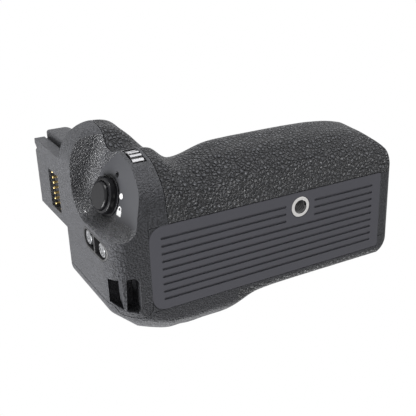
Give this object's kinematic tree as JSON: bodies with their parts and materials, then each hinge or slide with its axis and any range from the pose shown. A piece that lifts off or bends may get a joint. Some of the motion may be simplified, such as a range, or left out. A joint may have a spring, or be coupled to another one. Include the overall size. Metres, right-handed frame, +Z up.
{
  "type": "camera battery grip",
  "caption": "Vertical battery grip for a camera: handgrip body with release button, dials, contact tower, tripod socket and a sliding tray for two battery packs.",
  "frame": {"origin": "centre of the tripod socket's mouth on the underside", "axes": "+X along the body to the battery door, +Y to the viewer's side, +Z up to the camera body"},
  "size_m": [0.1425, 0.0855, 0.0875],
  "materials": {
    "shell": "fine grain, dark grey",
    "plate": "satin dark grey",
    "rubber": "pebbled leather grain",
    "soft_rubber": "smooth matte",
    "rubber_dial": "ribbed matte",
    "black_plastic": "matte black",
    "gloss": "polished black",
    "button_metal": "satin silver grey",
    "metal_plate": "fine black paint",
    "steel": "turned steel",
    "brass": "turned brass",
    "gold": "gold plated",
    "board": "green board",
    "ribbon": "amber film"
  },
  "bodies": {
    "grip": {"end_housing": "shell", "main_shell": "shell", "rear_shell": "shell", "base_plate": "plate", "grip_rubber": "rubber", "rear_rubber": "rubber", "top_plate": "metal_plate", "tower_housing": "shell", "contact_block": "black_plastic", "release_barrel": "gloss", "release_switch": "black_plastic", "button_insert": "black_plastic", "button_board": "board", "front_dial_axle": "steel", "rear_dial_axle": "steel", "focus_board": "board", "tripod_socket": "steel", "battery_chamber": "black_plastic", "chamber_contacts": "gold", "main_board": "board", "flex_ribbon": "ribbon", "stud_bush": "brass", "locating_pins": "steel", "mating_pad": "soft_rubber", "tower_screws": "steel", "top_plate_screws": "steel", "floor_screws": "steel"},
    "pins": {"contact_pins": "gold"},
    "lock_ring": {"release_lock_ring": "gloss"},
    "release": {"release_button": "gloss"},
    "upper_button": {"upper_function_button": "button_metal"},
    "lower_button": {"lower_function_button": "button_metal"},
    "front_dial": {"front_dial": "rubber_dial"},
    "rear_dial": {"rear_dial": "rubber_dial"},
    "focus_button": {"focus_button": "gloss"},
    "stud": {"mounting_stud": "steel", "thumbwheel": "rubber_dial"},
    "tray": {"battery_tray": "black_plastic", "tray_cover": "shell", "tray_gasket": "soft_rubber", "tray_terminals": "gold"},
    "latch": {"latch_knob": "shell", "latch_cam": "steel"}
  },
  "joints": [
    {"name": "release_press", "type": "slide", "parent": "grip", "child": "release", "axis": [0.9537, 0.2709, 0.131], "range_m": [0, 0.0009], "stiffness_N_per_m": 900, "springref_m": -0.0006},
    {"name": "lock_turn", "type": "hinge", "parent": "grip", "child": "lock_ring", "pos_m": [-0.079, -0.0146, 0.0242], "axis": [-0.9537, -0.2709, -0.131], "range_deg": [0, 38]},
    {"name": "upper_button_press", "type": "slide", "parent": "grip", "child": "upper_button", "axis": [1, 0, 0], "range_m": [0, 0.0008], "stiffness_N_per_m": 900, "springref_m": -0.0006},
    {"name": "lower_button_press", "type": "slide", "parent": "grip", "child": "lower_button", "axis": [1, 0, 0], "range_m": [0, 0.0008], "stiffness_N_per_m": 900, "springref_m": -0.0006},
    {"name": "focus_press", "type": "slide", "parent": "grip", "child": "focus_button", "axis": [0, -0.8339, -0.5518], "range_m": [0, 0.0008], "stiffness_N_per_m": 900, "springref_m": -0.0006},
    {"name": "contact_press", "type": "slide", "parent": "grip", "child": "pins", "axis": [1, 0, 0], "range_m": [0, 0.0005], "stiffness_N_per_m": 900, "springref_m": -0.0006},
    {"name": "front_dial_spin", "type": "hinge", "parent": "grip", "child": "front_dial", "pos_m": [-0.0685, -0.0242, 0.0205], "axis": [1, 0, 0], "continuous": true},
    {"name": "rear_dial_spin", "type": "hinge", "parent": "grip", "child": "rear_dial", "pos_m": [-0.074, 0.0265, 0.0382], "axis": [0, 0, 1], "continuous": true},
    {"name": "stud_spin", "type": "hinge", "parent": "grip", "child": "stud", "pos_m": [0, 0.008, 0.043], "axis": [0, 0, 1], "continuous": true},
    {"name": "tray_slide", "type": "slide", "parent": "grip", "child": "tray", "axis": [1, 0, 0], "range_m": [0, 0.112]},
    {"name": "latch_turn", "type": "hinge", "parent": "tray", "child": "latch", "pos_m": [0.0525, 0.00595, 0.0224], "axis": [1, 0, 0], "range_deg": [0, 90]}
  ]
}
